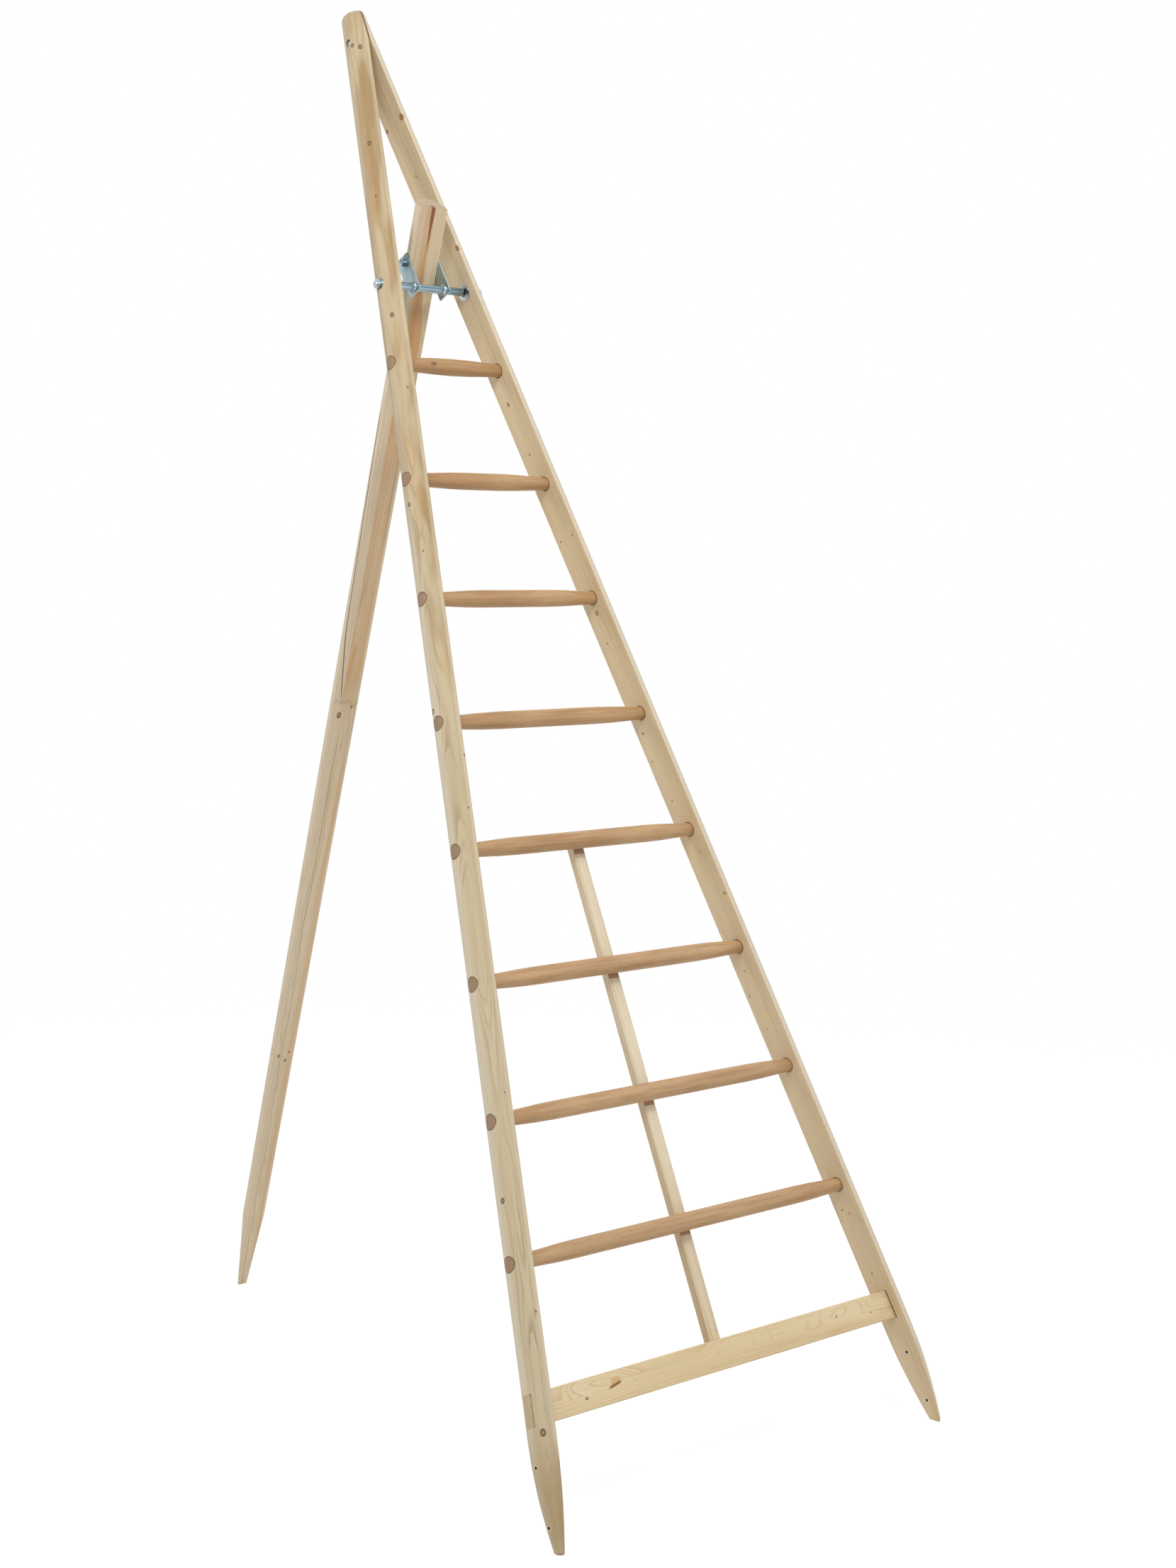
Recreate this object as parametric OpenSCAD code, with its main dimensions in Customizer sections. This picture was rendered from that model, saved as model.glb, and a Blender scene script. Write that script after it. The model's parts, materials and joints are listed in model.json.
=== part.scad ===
// Three-legged orchard ladder: two half-round stiles that meet at the top, turned rungs,
// a bottom rail, a centre post and a rear pole that folds on a steel hinge.
// Millimetres, +Z up, origin on the floor at the middle of the footprint.

/* [Stance] */
// Backward lean of the climbing frame from upright, in degrees
lean = 24; // [18:0.5:28]
// Forward lean of the rear pole from upright, in degrees
pole_lean = 15.5; // [11:0.25:20]
// Clear width between the stiles at the floor
spread = 1110; // [960:2:1300]

/* [Stiles] */
// Radius of the turned pole that is sawn in two to make the stiles
stile_r = 35; // [30:0.5:42]
// Distance up the slope from the hinge rod to where the flat faces of the stiles meet
meet_above = 636; // [540:2:740]
// Length of the mitre above that, where the stiles lie face to face
mitre_length = 64; // [50:1:110]
// Radius of the blunt point of a foot
foot_tip_r = 12; // [9:0.5:18]
// Length over which the side of a stile curves in to its foot
foot_taper = 220; // [150:5:230]
// Chamfer round the tips of all three feet
foot_chamfer = 7; // [4:0.5:8]
// Rounding at the top end
top_round = 13; // [4:1:20]
// Diameter of the two holes through each foot
foot_hole_d = 6; // [4:0.5:10]
// Distance up the stile of the lower foot hole
foot_hole_low = 48; // [35:1:70]
// Distance up the stile of the upper foot hole
foot_hole_high = 160; // [120:1:200]

/* [Rungs] */
// Distance up the slope of the lowest rung
first_rung = 546; // [450:2:640]
// Distance between rungs along the slope
rung_spacing = 280; // [250:2:310]
// Diameter of a rung at its middle
rung_mid_d = 38; // [32:0.5:42]
// Diameter of a rung's tenons
tenon_d = 29; // [24:0.5:31]
// Length of the taper from tenon to full diameter
rung_taper = 130; // [60:5:180]
// Radial clearance of a tenon in its hole
tenon_clear = 0.1; // [0.05:0.05:0.3]

/* [Bottom rail] */
// Slope height of the middle of the rail
rail_centre = 267; // [255:1:330]
// Height of the rail
rail_height = 62; // [45:1:80]
// How far the rail's front face lies ahead of the rungs' middle
rail_front = 10; // [4:0.5:16]
// Thickness of the rail's through tenons
rail_tenon = 20; // [14:0.5:26]
// Chamfer along the rail's edges
rail_edge = 2; // [0.5:0.5:4]
// Slack of the mortise ahead of the tenon
mortise_slack = 3; // [0.2:0.1:4]
// Clearance on the other sides of the mortise
mortise_clear = 0.1; // [0.05:0.05:0.3]

/* [Centre post] */
// Width of the post
post_width = 32; // [22:1:50]
// Depth of the post, front to back
post_depth = 20; // [14:0.5:26]
// Height of the post's end above the middle of the rung it reaches
post_above = 9; // [6:1:16]
// Height of the post's lower end above the rail's lower edge
post_foot = 5; // [0:1:12]
// Chamfer along the post's edges
post_edge = 2; // [0.5:0.5:4]
// Clearance between the post and what it lies against
post_clear = 0.05; // [0.02:0.01:0.2]

/* [Post screws] */
// Diameter of a screw's shank
screw_d = 5; // [4:0.5:6]
// Diameter of a screw's countersunk head
screw_head_d = 10; // [8:0.5:12]
// Length of a screw
screw_length = 34; // [28:1:36]
// Clearance round a screw
screw_clear = 0.05; // [0.02:0.01:0.2]
// Spacing of the two screws in the rail
rail_screw_gap = 30; // [20:1:36]

/* [Rear pole] */
// Radius of the half-round pole at its top
pole_top_r = 42; // [38:0.5:46]
// Radius of the pole where its foot starts to taper
pole_low_r = 30; // [26:0.5:36]
// Radius of the blunt point of the pole's foot
pole_tip_r = 12; // [9:0.5:18]
// Length of the pole's tapered foot
pole_taper = 200; // [140:5:260]
// Length of pole above the hinge
pole_stub = 176; // [140:1:190]
// Slant of the saw cut across the pole's top, in degrees
pole_top_slant = 20; // [0:1:30]

/* [Hinge] */
// Distance up the slope from the top rung to the hinge rod
hinge_above = 196; // [150:2:240]
// Distance from the rod's axis back to the pole's flat face
pole_setback = 33; // [28:0.5:40]
// Diameter of the threaded hinge rod
rod_d = 12; // [10:1:14]
// Radial running clearance of the tube on the rod
rod_clear = 0.08; // [0.02:0.01:0.1]
// Outer diameter of the hinge tube
tube_d = 18; // [16.5:0.5:22]
// Gap between an end of the tube and the washer on the stile
tube_play = 5; // [0.5:0.5:8]
// Length of a hinge plate
plate_length = 95; // [88:1:105]
// Width of a hinge plate
plate_width = 40; // [32:1:46]
// Thickness of a hinge plate
plate_thick = 4; // [3:0.5:6]
// Distance between the tube and the pole bolt on a plate
plate_pitch = 65; // [60:0.5:70]
// Backward lean of the plates from upright, in degrees
plate_lean = 31; // [27:0.5:35]
// Clearance between a plate and the edge of the pole
plate_clear = 0.3; // [0.1:0.1:1]
// Leg of the weld fillet round the tube
weld_leg = 4; // [2:0.5:5]

/* [Fasteners] */
// Diameter of the pole bolt
bolt_d = 10; // [8:0.5:12]
// Diameter of the apex bolt
apex_bolt_d = 8; // [6:0.5:10]
// Distance of the apex bolt below the stiles' top ends
apex_bolt_down = 76; // [64:1:90]
// Clearance of bolts, rods and nuts in their holes
bolt_clear = 0.1; // [0.05:0.05:0.3]
// Depth of the flat seats for the rod's washers in the round of the stiles
seat_depth = 3.4; // [3:0.1:5]
// Depth of the counterbores for the apex bolt's head and nut
apex_seat_depth = 13; // [9:0.5:16]
// Diameter of the seats beyond the washers in them
seat_margin = 2; // [1:0.5:4]
// Thickness of the washers
washer_thick = 2.5; // [1.5:0.5:3]
// Outer diameter of the washers under the rod's nuts
rod_washer_d = 24; // [22:1:26]
// Outer diameter of the washers on the pole bolt
bolt_washer_d = 20; // [18:1:22]
// Outer diameter of the washers on the apex bolt
apex_washer_d = 16; // [14:1:20]
// Outer diameter of the loose washers on the stiles' flat faces
tube_washer_d = 36; // [30:1:40]
// Hole in the loose washers
tube_washer_hole = 17.5; // [15.5:0.5:19]
// Clearance over the rod on which the loose washers hang
hang_clear = 0.15; // [0.05:0.05:0.3]
// Length of thread that shows past a nut
thread_end = 4; // [1:0.5:6]

/* [Hidden] */
$fn = 96;
PINE = [0.85, 0.76, 0.61];
OAK = [0.68, 0.54, 0.38];
ZINC = [0.72, 0.76, 0.79];
// Reach of a cut past the surface it clears, deep and shallow
past = 60;
over = 1;
// Facets of the wide arc along a foot
arc_facets = 720;
rung_count = 8;
// The highest rung that the post reaches
post_rung = 4;
// Shape of a rung's taper: where it eases into the middle, and how much it has swollen by then
ease_share = 0.34;
swell_share = 0.82;
// Most of a short rung's half length that its taper may take
taper_limit = 0.95;
// Hexagon sizes as shares of a thread's diameter
hex_share = 1.6;
head_share = 0.64;
nut_share = 0.85;

hinge_height = first_rung + (rung_count - 1) * rung_spacing + hinge_above;
meet_height = hinge_height + meet_above;
taper_angle = atan(spread / 2 / meet_height);
stile_length = (meet_height + mitre_length) / cos(taper_angle);
rung_r = rung_mid_d / 2;
tenon_r = tenon_d / 2;
post_front = rung_r + post_clear;
post_back = post_front + post_depth;
rail_low = rail_centre - rail_height / 2;
rail_high = rail_centre + rail_height / 2;

// Half the clear width between the stiles, and the outside of a stile, at a slope height
function half_gap(l) = spread / 2 * (1 - l / meet_height);
function half_outer(l) = half_gap(l) + stile_r / cos(taper_angle);
function rung_height(k) = first_rung + (k - 1) * rung_spacing;

// The rod, the pole's axis and the pole bolt, in the upright plane through the middle;
// the first value counts back from the front feet, the second up from the floor
rod_at = hinge_height * [sin(lean), cos(lean)];
pole_near = rod_at + pole_setback * [cos(pole_lean), sin(pole_lean)];
pole_foot_y = pole_near[0] + pole_near[1] * tan(pole_lean);
pole_hinge_q = pole_near[1] / cos(pole_lean);
pole_top_q = pole_hinge_q + pole_stub;
bolt_from_rod = plate_pitch * [sin(plate_lean), cos(plate_lean)];
bolt_q = pole_hinge_q + bolt_from_rod * [-sin(pole_lean), cos(pole_lean)];
function pole_r(q) = pole_low_r
    + (pole_top_r - pole_low_r) * (q - pole_taper) / (pole_top_q - pole_taper);
// Inner face of a hinge plate, clear of the pole at the plate's upper end
plate_in = pole_r(bolt_q + plate_length / 2) + plate_clear;
plate_out = plate_in + plate_thick;

// Middle of the footprint, from the front tips to the rear tip
front_y = -(pole_foot_y + pole_tip_r * cos(pole_lean) - foot_tip_r * cos(lean)) / 2;

rod_seat = half_outer(hinge_height) - seat_depth;
apex_height = meet_height + mitre_length - apex_bolt_down;
apex_seat = half_outer(apex_height) - apex_seat_depth;
tube_half = half_gap(hinge_height + tube_d / 2) - washer_thick / cos(taper_angle) - tube_play;
// How far the loose washers, which lie square to the stiles, hang below the rod's axis
washer_drop = tube_washer_hole / 2 - rod_d / 2 / cos(taper_angle)
    - washer_thick / 2 * tan(taper_angle) - hang_clear;

// Frames
// X across the ladder, Y square to its face and towards the rear, Z up the slope
module on_slope() {
    translate([0, front_y, 0]) rotate([-lean, 0, 0]) children();
}

// The right stile's own axis, on its flat face; X points outwards
module on_stile() {
    translate([spread / 2, 0, 0]) rotate([0, -taper_angle, 0]) children();
}

// The pole's own axis, on its flat face; Y points to the rear
module on_pole() {
    translate([0, front_y + pole_foot_y, 0]) rotate([pole_lean, 0, 0]) children();
}

// The rod's axis, upright; X runs along the rod
module on_rod() {
    translate([0, front_y + rod_at[0], rod_at[1]]) children();
}

// The pole bolt's axis
module on_pole_bolt() {
    on_rod() translate([0, bolt_from_rod[0], bolt_from_rod[1]]) children();
}

// Shared shapes
// Cylinder along X from one place to another
module bar_x(d, from, to, sides = 96) {
    translate([from, 0, 0]) rotate([0, 90, 0]) cylinder(d = d, h = to - from, $fn = sides);
}

module washer_x(d, hole, from) {
    difference() {
        bar_x(d, from, from + washer_thick);
        bar_x(hole, from - over, from + washer_thick + over);
    }
}

// Hexagon along X with flats a standard share of the thread
module hex_x(thread, from, to) {
    bar_x(thread * hex_share / cos(30), from, to, 6);
}

module nut_x(thread, from) {
    difference() {
        hex_x(thread, from, from + thread * nut_share);
        bar_x(thread + 2 * bolt_clear, from - over, from + thread * nut_share + over);
    }
}

// Hex bolt along X with its head at the left end
module bolt_x(thread, head_at, tip_at) {
    hex_x(thread, head_at - thread * head_share, head_at);
    bar_x(thread, head_at, tip_at);
}

// Rectangle between two corners, with its own corners cut off
module eased_rectangle(low, high, edge) {
    polygon([
        [low[0] + edge, low[1]], [high[0] - edge, low[1]],
        [high[0], low[1] + edge], [high[0], high[1] - edge],
        [high[0] - edge, high[1]], [low[0] + edge, high[1]],
        [low[0], high[1] - edge], [low[0], low[1] + edge]]);
}

// Outlines of the turned poles, radius against length; each is swept through half a turn
// A stile's side is straight down to its foot, then follows an arc in to the chamfered tip
module stile_outline() {
    drop = stile_r - foot_tip_r;
    arc_r = (foot_taper * foot_taper / drop + drop) / 2;
    difference() {
        polygon([[0, -foot_chamfer], [foot_tip_r - foot_chamfer, -foot_chamfer], [stile_r, drop],
            [stile_r, stile_length], [0, stile_length]]);
        difference() {
            translate([0, -past]) square([stile_r + past, past + foot_taper]);
            translate([stile_r - arc_r, foot_taper]) circle(r = arc_r, $fn = arc_facets);
        }
        translate([stile_r - top_round, stile_length - top_round]) difference() {
            square(top_round + over);
            circle(r = top_round);
        }
    }
}

module pole_outline(length) {
    polygon([[0, -foot_chamfer], [pole_tip_r - foot_chamfer, -foot_chamfer], [pole_tip_r, 0],
        [pole_low_r, pole_taper], [pole_r(length), length], [0, length]]);
}

module below_floor() {
    translate([-spread, -spread * 2, -past * 3]) cube([spread * 2, spread * 4, past * 3]);
}

// Space inside the round of the right stile, and everything to the left of it
module inside_right_stile() {
    on_stile() {
        cylinder(r = stile_r, h = stile_length);
        translate([-spread * 2, -stile_r, 0]) cube([spread * 2, stile_r * 2, stile_length]);
    }
}

module between_outsides() {
    intersection() {
        inside_right_stile();
        mirror([1, 0, 0]) inside_right_stile();
    }
}

// Space between the flat faces of the stiles, past the rail on every side
module between_flats() {
    above = rail_high + past;
    translate([0, past, 0]) rotate([90, 0, 0]) linear_extrude(2 * past) polygon([
        [-half_gap(0), 0], [half_gap(0), 0], [half_gap(above), above], [-half_gap(above), above]]);
}

// Slope-frame places of the post's screws
function screw_heights() = concat(
    [for (k = [1 : post_rung]) rung_height(k)],
    [rail_centre - rail_screw_gap / 2, rail_centre + rail_screw_gap / 2]);

module screw_hole(l, grow) {
    translate([0, post_back - screw_length - grow, l]) rotate([-90, 0, 0])
        cylinder(d = screw_d + 2 * grow, h = screw_length + 2 * grow);
}

module screw_head(l, grow) {
    translate([0, post_back - screw_head_d / 2, l]) rotate([-90, 0, 0])
        cylinder(d1 = 2 * grow, d2 = screw_head_d + 2 * grow, h = screw_head_d / 2);
}

// Climbing frame
module right_stile_on_slope() {
    difference() {
        on_stile() difference() {
            rotate([0, 0, -90]) rotate_extrude(angle = 180) stile_outline();
            for (q = [foot_hole_low, foot_hole_high]) translate([0, 0, q]) bar_x(foot_hole_d, -over, past);
        }
        translate([-past * 4, -past, meet_height - past]) cube([past * 4, past * 2, mitre_length + past * 2]);
        for (k = [1 : rung_count]) translate([0, 0, rung_height(k)])
            bar_x(tenon_d + 2 * tenon_clear, 0, half_outer(0) + past);
        translate([0, -rail_front - mortise_slack, rail_low - mortise_clear])
            cube([half_outer(0) + past, rail_tenon + mortise_slack + mortise_clear,
                rail_height + 2 * mortise_clear]);
        translate([0, 0, hinge_height]) {
            bar_x(rod_d + 2 * bolt_clear, 0, rod_seat + past);
            bar_x(rod_washer_d + seat_margin, rod_seat, rod_seat + past);
        }
        translate([0, 0, apex_height]) {
            bar_x(apex_bolt_d + 2 * bolt_clear, -over, apex_seat + past);
            bar_x(apex_washer_d + seat_margin, apex_seat, apex_seat + past);
        }
    }
}

module right_stile() {
    color(PINE) difference() {
        on_slope() right_stile_on_slope();
        below_floor();
    }
}

module left_stile() {
    color(PINE) mirror([1, 0, 0]) difference() {
        on_slope() right_stile_on_slope();
        below_floor();
    }
}

// Turned rung: tenons through the stiles, flush with the round outside, swelling to the middle
module rung(k) {
    l = rung_height(k);
    shoulder = half_gap(l + tenon_r);
    run = min(rung_taper, shoulder * taper_limit);
    ease = run * ease_share;
    ease_r = tenon_r + (rung_r - tenon_r) * swell_share;
    reach = half_outer(l) + past;
    color(OAK) on_slope() difference() {
        intersection() {
            translate([0, 0, l]) rotate([0, 90, 0]) rotate_extrude() polygon([
                [0, -reach], [tenon_r, -reach], [tenon_r, -shoulder],
                [ease_r, run - ease - shoulder], [rung_r, run - shoulder], [rung_r, shoulder - run],
                [ease_r, shoulder - run + ease], [tenon_r, shoulder], [tenon_r, reach], [0, reach]]);
            between_outsides();
        }
        if (k <= post_rung) screw_hole(l, screw_clear);
    }
}

// Board between the stiles with bare-faced tenons through them
module bottom_rail() {
    color(PINE) on_slope() difference() {
        union() {
            intersection() {
                translate([-half_gap(0), 0, 0]) rotate([90, 0, 90]) linear_extrude(2 * half_gap(0))
                    eased_rectangle([-rail_front, rail_low], [rung_r, rail_high], rail_edge);
                between_flats();
            }
            difference() {
                intersection() {
                    translate([-half_outer(0), -rail_front, rail_low])
                        cube([2 * half_outer(0), rail_tenon, rail_height]);
                    between_outsides();
                }
                between_flats();
            }
        }
        for (side = [-1, 1]) screw_hole(rail_centre + side * rail_screw_gap / 2, screw_clear);
    }
}

// Batten up the back of the lower rungs
module centre_post() {
    foot = rail_low + post_foot;
    color(PINE) on_slope() difference() {
        translate([0, 0, foot]) linear_extrude(rung_height(post_rung) + post_above - foot)
            eased_rectangle([-post_width / 2, post_front], [post_width / 2, post_back], post_edge);
        for (l = screw_heights()) {
            screw_hole(l, screw_clear);
            screw_head(l, screw_clear);
        }
    }
}

module post_screws() {
    color(ZINC) on_slope() for (l = screw_heights()) intersection() {
        union() {
            screw_hole(l, 0);
            screw_head(l, 0);
        }
        translate([-screw_head_d, post_back - screw_length, l - screw_head_d])
            cube([screw_head_d * 2, screw_length, screw_head_d * 2]);
    }
}

// Apex bolt
module apex_bolt() {
    tip = apex_seat + washer_thick + apex_bolt_d * nut_share + thread_end;
    color(ZINC) on_slope() translate([0, 0, apex_height]) bolt_x(apex_bolt_d, -apex_seat - washer_thick, tip);
}

module apex_nut() {
    color(ZINC) on_slope() translate([0, 0, apex_height]) nut_x(apex_bolt_d, apex_seat + washer_thick);
}

module apex_washers() {
    color(ZINC) on_slope() translate([0, 0, apex_height]) for (side = [0, 1]) mirror([side, 0, 0])
        washer_x(apex_washer_d, apex_bolt_d + 2 * bolt_clear, apex_seat);
}

// Hinge
module hinge_rod() {
    half = rod_seat + washer_thick + rod_d * nut_share + thread_end;
    color(ZINC) on_rod() bar_x(rod_d, -half, half);
}

module rod_nuts() {
    color(ZINC) on_rod() for (side = [0, 1]) mirror([side, 0, 0]) nut_x(rod_d, rod_seat + washer_thick);
}

module rod_washers() {
    color(ZINC) on_rod() for (side = [0, 1]) mirror([side, 0, 0])
        washer_x(rod_washer_d, rod_d + 2 * bolt_clear, rod_seat);
}

// Loose washers against the flat faces of the stiles, hanging on the rod
module tube_washers() {
    color(ZINC) on_slope() for (side = [0, 1]) mirror([side, 0, 0])
        on_stile() translate([0, 0, hinge_height / cos(taper_angle) - washer_drop])
            washer_x(tube_washer_d, tube_washer_hole, -washer_thick);
}

module hinge_tube() {
    color(ZINC) on_rod() difference() {
        bar_x(tube_d, -tube_half, tube_half);
        bar_x(rod_d + 2 * rod_clear, -tube_half - over, tube_half + over);
    }
}

// Flat bar on the right of the pole, welded round the tube on both faces
module hinge_plate() {
    inset = (plate_length - plate_pitch) / 2;
    weld_r = tube_d / 2 + weld_leg;
    on_rod() difference() {
        union() {
            rotate([-plate_lean, 0, 0]) translate([plate_in, -plate_width / 2, -inset])
                cube([plate_thick, plate_width, plate_length]);
            translate([plate_in, 0, 0]) rotate([0, 90, 0]) rotate_extrude() polygon([
                [0, -weld_leg], [tube_d / 2, -weld_leg], [weld_r, 0], [weld_r, plate_thick],
                [tube_d / 2, plate_thick + weld_leg], [0, plate_thick + weld_leg]]);
        }
        bar_x(tube_d + 2 * bolt_clear, plate_in - past, plate_out + past);
        translate([0, bolt_from_rod[0], bolt_from_rod[1]])
            bar_x(bolt_d + 2 * bolt_clear, plate_in - past, plate_out + past);
    }
}

module hinge_plate_right() {
    color(ZINC) hinge_plate();
}

module hinge_plate_left() {
    color(ZINC) mirror([1, 0, 0]) hinge_plate();
}

// Rear pole
module rear_pole() {
    slant_rise = pole_top_r * 2;
    color(PINE) difference() {
        on_pole() difference() {
            rotate_extrude(angle = 180) pole_outline(pole_top_q + slant_rise);
            translate([0, 0, pole_top_q]) rotate([pole_top_slant, 0, 0])
                translate([-pole_top_r * 2, -pole_top_r * 2, 0]) cube(pole_top_r * 4);
        }
        on_pole_bolt() bar_x(bolt_d + 2 * bolt_clear, -plate_out, plate_out);
        below_floor();
    }
}

module pole_bolt() {
    color(ZINC) on_pole_bolt()
        bolt_x(bolt_d, -plate_out - washer_thick, plate_out + washer_thick + bolt_d * nut_share + thread_end);
}

module pole_nut() {
    color(ZINC) on_pole_bolt() nut_x(bolt_d, plate_out + washer_thick);
}

module pole_washers() {
    color(ZINC) on_pole_bolt() for (side = [0, 1]) mirror([side, 0, 0])
        washer_x(bolt_washer_d, bolt_d + 2 * bolt_clear, plate_out);
}

left_stile();
right_stile();
rung(1);  // rung_1
rung(2);  // rung_2
rung(3);  // rung_3
rung(4);  // rung_4
rung(5);  // rung_5
rung(6);  // rung_6
rung(7);  // rung_7
rung(8);  // rung_8
bottom_rail();
centre_post();
post_screws();
apex_bolt();
apex_nut();
apex_washers();
hinge_rod();
rod_nuts();
rod_washers();
tube_washers();
hinge_tube();
hinge_plate_left();
hinge_plate_right();
rear_pole();
pole_bolt();
pole_nut();
pole_washers();
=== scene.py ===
"""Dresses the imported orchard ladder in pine, hardwood and zinc, and frames it as in the photograph."""

import json
import math
from collections import namedtuple

import bpy
from mathutils import Euler, Matrix, Vector


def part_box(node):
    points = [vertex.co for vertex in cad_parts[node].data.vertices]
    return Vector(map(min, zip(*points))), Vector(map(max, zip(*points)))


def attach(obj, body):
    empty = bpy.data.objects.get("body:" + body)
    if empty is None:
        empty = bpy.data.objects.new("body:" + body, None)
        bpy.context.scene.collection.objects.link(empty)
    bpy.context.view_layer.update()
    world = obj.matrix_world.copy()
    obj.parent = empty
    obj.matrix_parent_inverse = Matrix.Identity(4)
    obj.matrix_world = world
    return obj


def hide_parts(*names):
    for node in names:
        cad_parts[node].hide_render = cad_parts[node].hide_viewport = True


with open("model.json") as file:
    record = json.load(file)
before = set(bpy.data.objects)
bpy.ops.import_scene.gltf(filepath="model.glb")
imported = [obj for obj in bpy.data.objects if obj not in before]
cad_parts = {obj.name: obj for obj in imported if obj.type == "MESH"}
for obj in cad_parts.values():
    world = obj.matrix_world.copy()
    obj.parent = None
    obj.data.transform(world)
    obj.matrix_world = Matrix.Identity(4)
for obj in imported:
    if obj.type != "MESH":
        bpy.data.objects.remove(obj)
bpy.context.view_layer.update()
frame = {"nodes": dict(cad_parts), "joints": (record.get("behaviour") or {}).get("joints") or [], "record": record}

# Sizes of the ladder, in metres and radians
LEAN = math.radians(24)
POLE_LEAN = math.radians(15.5)
PLATE_LEAN = math.radians(31)
SPREAD = 1.110
FIRST_RUNG = 0.546
RUNG_SPACING = 0.28
RUNG_COUNT = 8
RUNG_R = 0.019
HINGE_HEIGHT = 2.702
MEET_HEIGHT = 3.338
APEX_HEIGHT = 3.326
STILE_R = 0.035
TENON_R = 0.0145
FOOT_HOLES = (0.048, 0.160)
RAIL_CENTRE = 0.267
RAIL_HEIGHT = 0.062
RAIL_FRONT = 0.010
RAIL_FRAME_BACK = 0.05
MORTISE_SLACK = 0.003
POST_RUNGS = 4
POST_CLEAR = 0.00005
POST_DEPTH = 0.020
POLE_SETBACK = 0.033
POLE_TAPER = 0.200
POLE_STUB = 0.176
POLE_LOW_R = 0.030
POLE_TOP_R = 0.042
PLATE_PITCH = 0.065
PLATE_THICK = 0.004
TUBE_R = 0.009

# Sizes of the fasteners, in metres
ROD_D = 0.012
ROD_PITCH = 0.00175
ROD_THREAD = 0.05
ROD_WASHER_R = 0.012
ROD_SEAT_DEPTH = 0.0034
POLE_BOLT_D = 0.010
POLE_BOLT_PITCH = 0.0015
POLE_BOLT_THREAD = 0.026
POLE_WASHER_R = 0.010
APEX_BOLT_D = 0.008
APEX_BOLT_PITCH = 0.00125
APEX_BOLT_THREAD = 0.022
APEX_WASHER_R = 0.008
APEX_SEAT_DEPTH = 0.013
WASHER = 0.0025
WASHER_EDGE = 0.0004
BORE_CLEAR = 0.0001
THREAD_END = 0.004
WELD_LEG = 0.004
BEAD_SIZE = 0.003
BEAD_OFFSET = 0.001
SCREW_LENGTH = 0.034
SCREW_SHANK = 0.005
SCREW_HEAD = 0.010
SCREW_PITCH = 0.0022
RAIL_SCREW_OFFSET = 0.015

# Shares of a thread's diameter
HEX_SHARE = 1.6
HEAD_SHARE = 0.64
NUT_SHARE = 0.85
MOUTH_SHARE = 0.54
SINK_SHARE = 0.06
CROWN_SHARE = 0.05
TIP_SHARE = 0.1

# Places that follow from the sizes
HINGE = Vector(frame["joints"][0]["pos_m"])
TAPER = math.atan(SPREAD / 2 / MEET_HEIGHT)
FRONT_Y = HINGE.y - HINGE_HEIGHT * math.sin(LEAN)
POLE_NEAR = HINGE + POLE_SETBACK * Vector((0, math.cos(POLE_LEAN), math.sin(POLE_LEAN)))
POLE_FOOT_Y = POLE_NEAR.y + POLE_NEAR.z * math.tan(POLE_LEAN)
POLE_TOP = POLE_NEAR.z / math.cos(POLE_LEAN) + POLE_STUB
POLE_BOLT = HINGE + PLATE_PITCH * Vector((0, math.sin(PLATE_LEAN), math.cos(PLATE_LEAN)))
POST_BACK = RUNG_R + POST_CLEAR + POST_DEPTH
PLATE_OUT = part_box("hinge_plate_right")[1].x - WELD_LEG
PLATE_IN = PLATE_OUT - PLATE_THICK

# Frames: X across, Y to the rear, Z up the piece
SLOPE = Matrix.Translation((0, FRONT_Y, 0)) @ Matrix.Rotation(-LEAN, 4, "X")
RIGHT_STILE = SLOPE @ Matrix.Translation((SPREAD / 2, 0, 0)) @ Matrix.Rotation(-TAPER, 4, "Y")
LEFT_STILE = SLOPE @ Matrix.Translation((-SPREAD / 2, 0, 0)) @ Matrix.Rotation(TAPER, 4, "Y")
POLE = Matrix.Translation((0, POLE_FOOT_Y, 0)) @ Matrix.Rotation(POLE_LEAN, 4, "X")
# The rail and the fasteners across the ladder lie along X: their own Z axis is turned to +X
ALONG_X = Matrix.Rotation(math.pi / 2, 4, "Y")
RAIL = SLOPE @ Matrix.Translation((0, RAIL_FRAME_BACK, RAIL_CENTRE)) @ ALONG_X
ROD_AXIS = Matrix.Translation(HINGE) @ ALONG_X
APEX_AXIS = SLOPE @ Matrix.Translation((0, 0, APEX_HEIGHT)) @ ALONG_X
POLE_AXIS = Matrix.Translation(POLE_BOLT) @ ALONG_X


def half_gap(height):
    """Half the clear width between the stiles at a slope height."""
    return SPREAD / 2 * (1 - height / MEET_HEIGHT)


def seat(height, depth):
    """How far out a washer sits in its seat in the round of a stile at a slope height."""
    return half_gap(height) + STILE_R / math.cos(TAPER) - depth


def add(name, data):
    """A new object in the scene."""
    made = bpy.data.objects.new(name, data)
    bpy.context.scene.collection.objects.link(made)
    return made


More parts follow.
